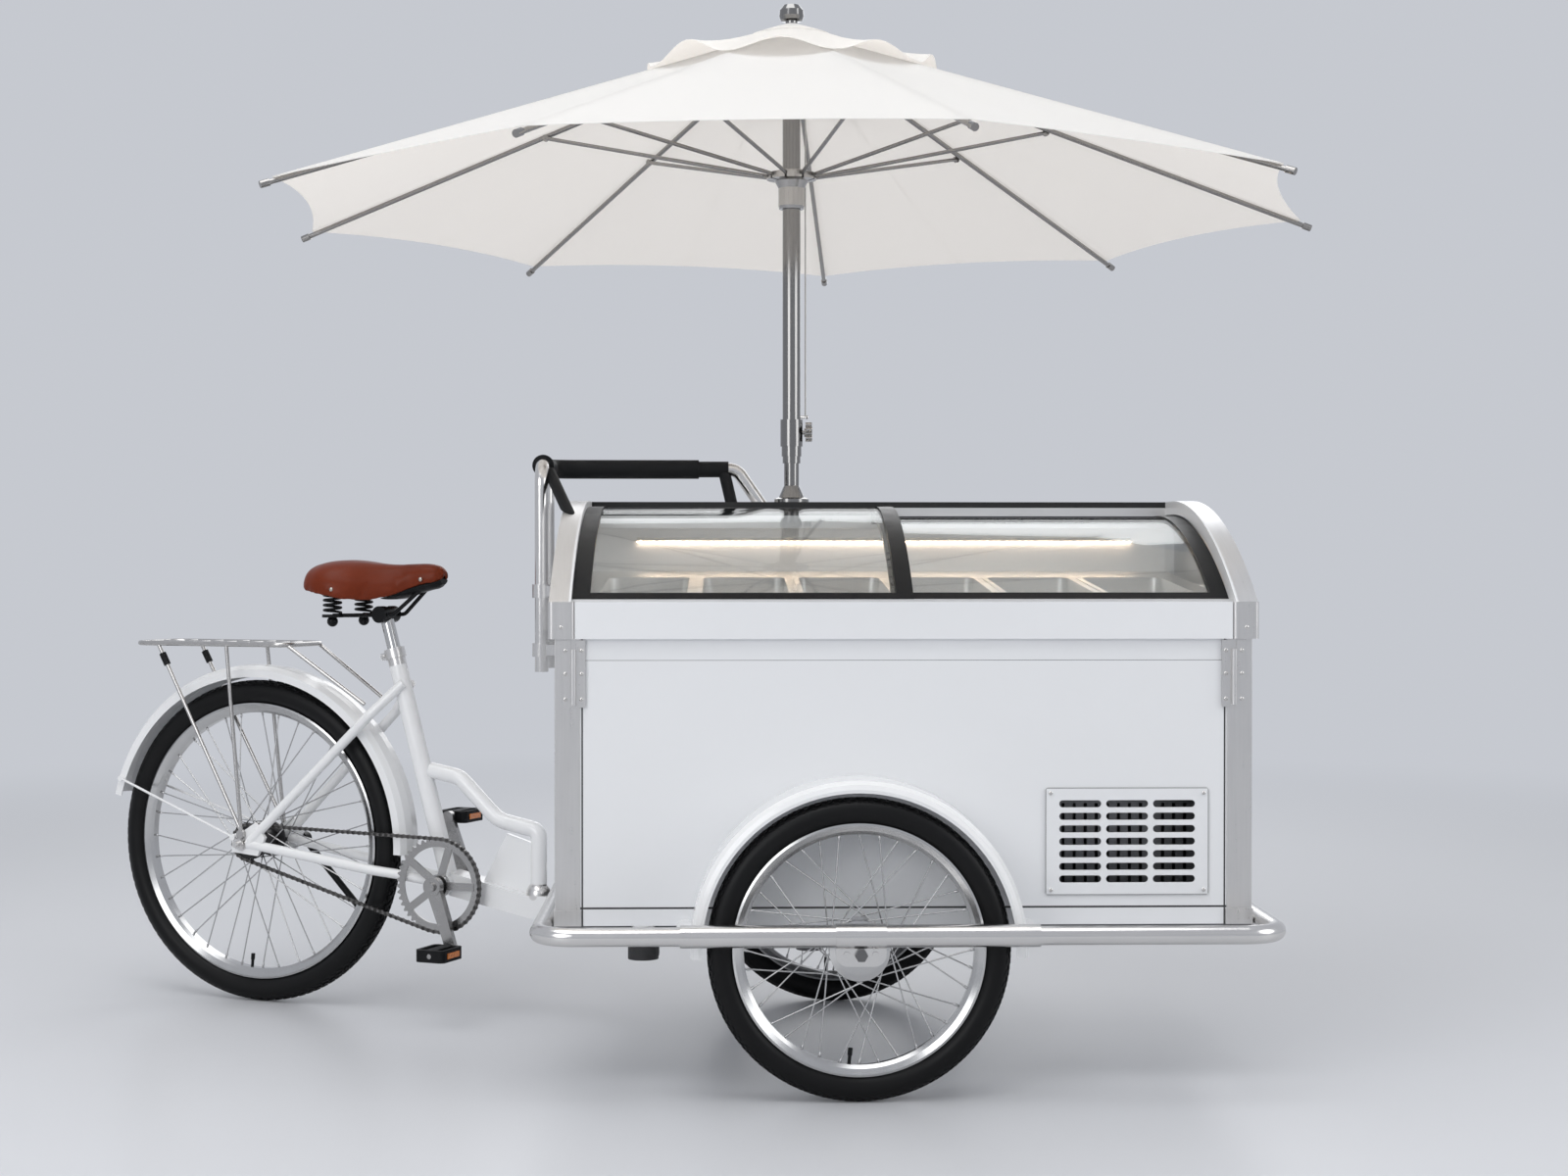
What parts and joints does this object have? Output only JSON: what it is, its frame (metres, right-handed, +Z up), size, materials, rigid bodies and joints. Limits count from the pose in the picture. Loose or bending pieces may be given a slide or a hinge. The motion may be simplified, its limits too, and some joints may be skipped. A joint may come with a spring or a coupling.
{
  "type": "ice cream cart tricycle",
  "caption": "Cargo tricycle with a glazed freezer box on two front wheels, a steered cycle half behind it and a folding market umbrella over the box.",
  "frame": {"origin": "on the floor under the middle of the whole object's bounding box", "axes": "+Z up, +X the way the cart drives, -Y the chain side that the picture shows"},
  "size_m": [2.5046, 2.1166, 2.035],
  "materials": {
    "white_panel": "gloss white coated panel",
    "white_band": "gloss white moulding",
    "stainless": "satin brushed stainless steel",
    "tub_steel": "satin sheet steel",
    "top_alloy": "satin alloy",
    "glass": "clear bent glass",
    "black_frame": "satin black frame",
    "vent_white": "white painted steel plate",
    "led": "warm light strip",
    "cold_alloy": "cast and finned alloy",
    "chassis_paint": "grey-white paint",
    "white_paint": "gloss white paint",
    "tyre": "black rubber with fine tread",
    "wheel_alloy": "satin rim, bright spokes",
    "steel_rod": "satin steel rod",
    "chain_steel": "dark oiled steel",
    "crank_alloy": "polished alloy",
    "pedal_black": "black moulding",
    "black_paint": "black paint",
    "chrome": "bright chrome",
    "leather": "tan brown leather",
    "mast_steel": "polished stainless tube",
    "cord": "thin braided cord",
    "canvas": "white woven canopy cloth",
    "grip_foam": "black foam grip"
  },
  "bodies": {
    "cart": {"cabinet": "white_panel", "liner": "tub_steel", "rim_band": "white_band", "corner_trim": "stainless", "vent_grille": "vent_white", "top_housing": "top_alloy", "pan_deck": "tub_steel", "pans": "tub_steel", "led_strip": "led", "cold_unit": "cold_alloy", "bumper": "stainless", "chassis": "chassis_paint", "front_fenders": "white_paint", "handle": "stainless", "handle_grip": "grip_foam", "mast_lower": "mast_steel"},
    "lid_left": {"lid_frame_left": "black_frame", "lid_glass_left": "glass"},
    "lid_right": {"lid_frame_right": "black_frame", "lid_glass_right": "glass"},
    "front_wheel_near": {"front_tyre_near": "tyre", "front_wheel_near": "wheel_alloy"},
    "front_wheel_far": {"front_tyre_far": "tyre", "front_wheel_far": "wheel_alloy"},
    "cycle": {"rear_frame": "white_paint", "rear_fender": "white_paint", "rack": "steel_rod", "chain": "chain_steel"},
    "rear_wheel": {"rear_tyre": "tyre", "rear_wheel": "wheel_alloy"},
    "cranks": {"crankset": "crank_alloy"},
    "pedal_near": {"pedal_near": "pedal_black"},
    "pedal_far": {"pedal_far": "pedal_black"},
    "kickstand": {"kickstand": "black_paint"},
    "seat": {"seatpost": "chrome", "saddle": "leather", "saddle_springs": "black_paint"},
    "mast": {"mast_upper": "mast_steel", "pull_cord": "cord", "canopy": "canvas"},
    "clamp_knob": {"clamp_knob": "mast_steel"},
    "runner": {"runner": "mast_steel"},
    "rib_1": {"rib_1": "steel_rod"},
    "strut_1": {"strut_1": "steel_rod"},
    "rib_2": {"rib_2": "steel_rod"},
    "strut_2": {"strut_2": "steel_rod"},
    "rib_3": {"rib_3": "steel_rod"},
    "strut_3": {"strut_3": "steel_rod"},
    "rib_4": {"rib_4": "steel_rod"},
    "strut_4": {"strut_4": "steel_rod"},
    "rib_5": {"rib_5": "steel_rod"},
    "strut_5": {"strut_5": "steel_rod"},
    "rib_6": {"rib_6": "steel_rod"},
    "strut_6": {"strut_6": "steel_rod"},
    "rib_7": {"rib_7": "steel_rod"},
    "strut_7": {"strut_7": "steel_rod"},
    "rib_8": {"rib_8": "steel_rod"},
    "strut_8": {"strut_8": "steel_rod"},
    "rib_9": {"rib_9": "steel_rod"},
    "strut_9": {"strut_9": "steel_rod"}
  },
  "joints": [
    {"name": "steer", "type": "hinge", "parent": "cart", "child": "cycle", "pos_m": [0.20298, -0.34382, 0.254], "axis": [0, 0, 1], "range_deg": [-2, 50]},
    {"name": "front_wheel_near_spin", "type": "hinge", "parent": "cart", "child": "front_wheel_near", "pos_m": [0.26898, -0.80882, 0.257], "axis": [0, 1, 0], "continuous": true},
    {"name": "front_wheel_far_spin", "type": "hinge", "parent": "cart", "child": "front_wheel_far", "pos_m": [0.26898, 0.12118, 0.257], "axis": [0, 1, 0], "continuous": true},
    {"name": "crank_spin", "type": "hinge", "parent": "cycle", "child": "cranks", "pos_m": [-0.50775, -0.02738, 0.267], "axis": [0.4067, 0.9135, 0], "continuous": true},
    {"name": "rear_wheel_spin", "type": "hinge", "parent": "cycle", "child": "rear_wheel", "pos_m": [-0.92068, 0.15647, 0.333], "axis": [0.4067, 0.9135, 0], "continuous": true},
    {"name": "pedal_near_spin", "type": "hinge", "parent": "cranks", "child": "pedal_near", "pos_m": [-0.51627, -0.15056, 0.14408], "axis": [0.4067, 0.9135, 0], "continuous": true},
    {"name": "pedal_far_spin", "type": "hinge", "parent": "cranks", "child": "pedal_far", "pos_m": [-0.49924, 0.09581, 0.38992], "axis": [0.4067, 0.9135, 0], "continuous": true},
    {"name": "kickstand_fold", "type": "hinge", "parent": "cycle", "child": "kickstand", "pos_m": [-0.84286, 0.21815, 0.329], "axis": [0.4067, 0.9135, 0], "range_deg": [-40, 40]},
    {"name": "seat_height", "type": "slide", "parent": "cycle", "child": "seat", "axis": [-0.245, 0.1091, 0.9634], "range_m": [-0.025, 0.06]},
    {"name": "lid_left_slide", "type": "slide", "parent": "cart", "child": "lid_left", "axis": [1, 0, 0], "range_m": [0, 0.52]},
    {"name": "lid_right_slide", "type": "slide", "parent": "cart", "child": "lid_right", "axis": [1, 0, 0], "range_m": [-0.52, 0]},
    {"name": "mast_height", "type": "slide", "parent": "cart", "child": "mast", "axis": [0, 0, 1], "range_m": [0, 0.25]},
    {"name": "clamp_knob_turn", "type": "hinge", "parent": "mast", "child": "clamp_knob", "pos_m": [0.20598, -0.01282, 1.172], "axis": [1, 0, 0], "range_deg": [-180, 0]},
    {"name": "runner_slide", "type": "slide", "parent": "mast", "child": "runner", "axis": [0, 0, -1], "range_m": [0, 0.4], "deforming": ["canopy"]},
    {"name": "rib_1_fold", "type": "hinge", "parent": "mast", "child": "rib_1", "pos_m": [0.18196, 0.02497, 1.962], "axis": [-0.9945, 0.1045, 0], "range_deg": [0, 23.46]},
    {"name": "strut_1_fold", "type": "hinge", "parent": "runner", "child": "strut_1", "pos_m": [0.17283, 0.02995, 1.688], "axis": [-0.9945, 0.1045, 0], "range_deg": [-29.29, 0]},
    {"name": "rib_2_fold", "type": "hinge", "parent": "mast", "child": "rib_2", "pos_m": [0.15674, 0.01869, 1.962], "axis": [-0.829, -0.5592, 0], "range_deg": [0, 23.46]},
    {"name": "strut_2_fold", "type": "hinge", "parent": "runner", "child": "strut_2", "pos_m": [0.14654, 0.01663, 1.688], "axis": [-0.829, -0.5592, 0], "range_deg": [-29.29, 0]},
    {"name": "rib_3_fold", "type": "hinge", "parent": "mast", "child": "rib_3", "pos_m": [0.14146, -0.00234, 1.962], "axis": [-0.2756, -0.9613, 0], "range_deg": [0, 23.46]},
    {"name": "strut_3_fold", "type": "hinge", "parent": "runner", "child": "strut_3", "pos_m": [0.13497, -0.01047, 1.688], "axis": [-0.2756, -0.9613, 0], "range_deg": [-29.29, 0]},
    {"name": "rib_4_fold", "type": "hinge", "parent": "mast", "child": "rib_4", "pos_m": [0.14327, -0.02827, 1.962], "axis": [0.4067, -0.9135, 0], "range_deg": [0, 23.46]},
    {"name": "strut_4_fold", "type": "hinge", "parent": "runner", "child": "strut_4", "pos_m": [0.14352, -0.03867, 1.688], "axis": [0.4067, -0.9135, 0], "range_deg": [-29.29, 0]},
    {"name": "rib_5_fold", "type": "hinge", "parent": "mast", "child": "rib_5", "pos_m": [0.16133, -0.04697, 1.962], "axis": [0.8988, -0.4384, 0], "range_deg": [0, 23.46]},
    {"name": "strut_5_fold", "type": "hinge", "parent": "runner", "child": "strut_5", "pos_m": [0.1682, -0.05478, 1.688], "axis": [0.8988, -0.4384, 0], "range_deg": [-29.29, 0]},
    {"name": "rib_6_fold", "type": "hinge", "parent": "mast", "child": "rib_6", "pos_m": [0.18718, -0.04969, 1.962], "axis": [0.9703, 0.2419, 0], "range_deg": [0, 23.46]},
    {"name": "strut_6_fold", "type": "hinge", "parent": "runner", "child": "strut_6", "pos_m": [0.19746, -0.05125, 1.688], "axis": [0.9703, 0.2419, 0], "range_deg": [-29.29, 0]},
    {"name": "rib_7_fold", "type": "hinge", "parent": "mast", "child": "rib_7", "pos_m": [0.20873, -0.03515, 1.962], "axis": [0.5878, 0.809, 0], "range_deg": [0, 23.46]},
    {"name": "strut_7_fold", "type": "hinge", "parent": "runner", "child": "strut_7", "pos_m": [0.2176, -0.02974, 1.688], "axis": [0.5878, 0.809, 0], "range_deg": [-29.29, 0]},
    {"name": "rib_8_fold", "type": "hinge", "parent": "mast", "child": "rib_8", "pos_m": [0.21589, -0.01017, 1.962], "axis": [-0.0698, 0.9976, 0], "range_deg": [0, 23.46]},
    {"name": "strut_8_fold", "type": "hinge", "parent": "runner", "child": "strut_8", "pos_m": [0.21921, -0.00031, 1.688], "axis": [-0.0698, 0.9976, 0], "range_deg": [-29.29, 0]},
    {"name": "rib_9_fold", "type": "hinge", "parent": "mast", "child": "rib_9", "pos_m": [0.20532, 0.01358, 1.962], "axis": [-0.6947, 0.7193, 0], "range_deg": [0, 23.46]},
    {"name": "strut_9_fold", "type": "hinge", "parent": "runner", "child": "strut_9", "pos_m": [0.20153, 0.02326, 1.688], "axis": [-0.6947, 0.7193, 0], "range_deg": [-29.29, 0]}
  ],
  "couplings": [
    {"joint": "rear_wheel_spin", "follows": "crank_spin", "ratio": 2.5556},
    {"joint": "rib_1_fold", "follows": "runner_slide", "rad_per_m": 1.0213},
    {"joint": "strut_1_fold", "follows": "runner_slide", "rad_per_m": -1.2758},
    {"joint": "rib_2_fold", "follows": "runner_slide", "rad_per_m": 1.0213},
    {"joint": "strut_2_fold", "follows": "runner_slide", "rad_per_m": -1.2758},
    {"joint": "rib_3_fold", "follows": "runner_slide", "rad_per_m": 1.0213},
    {"joint": "strut_3_fold", "follows": "runner_slide", "rad_per_m": -1.2758},
    {"joint": "rib_4_fold", "follows": "runner_slide", "rad_per_m": 1.0213},
    {"joint": "strut_4_fold", "follows": "runner_slide", "rad_per_m": -1.2758},
    {"joint": "rib_5_fold", "follows": "runner_slide", "rad_per_m": 1.0213},
    {"joint": "strut_5_fold", "follows": "runner_slide", "rad_per_m": -1.2758},
    {"joint": "rib_6_fold", "follows": "runner_slide", "rad_per_m": 1.0213},
    {"joint": "strut_6_fold", "follows": "runner_slide", "rad_per_m": -1.2758},
    {"joint": "rib_7_fold", "follows": "runner_slide", "rad_per_m": 1.0213},
    {"joint": "strut_7_fold", "follows": "runner_slide", "rad_per_m": -1.2758},
    {"joint": "rib_8_fold", "follows": "runner_slide", "rad_per_m": 1.0213},
    {"joint": "strut_8_fold", "follows": "runner_slide", "rad_per_m": -1.2758},
    {"joint": "rib_9_fold", "follows": "runner_slide", "rad_per_m": 1.0213},
    {"joint": "strut_9_fold", "follows": "runner_slide", "rad_per_m": -1.2758}
  ]
}
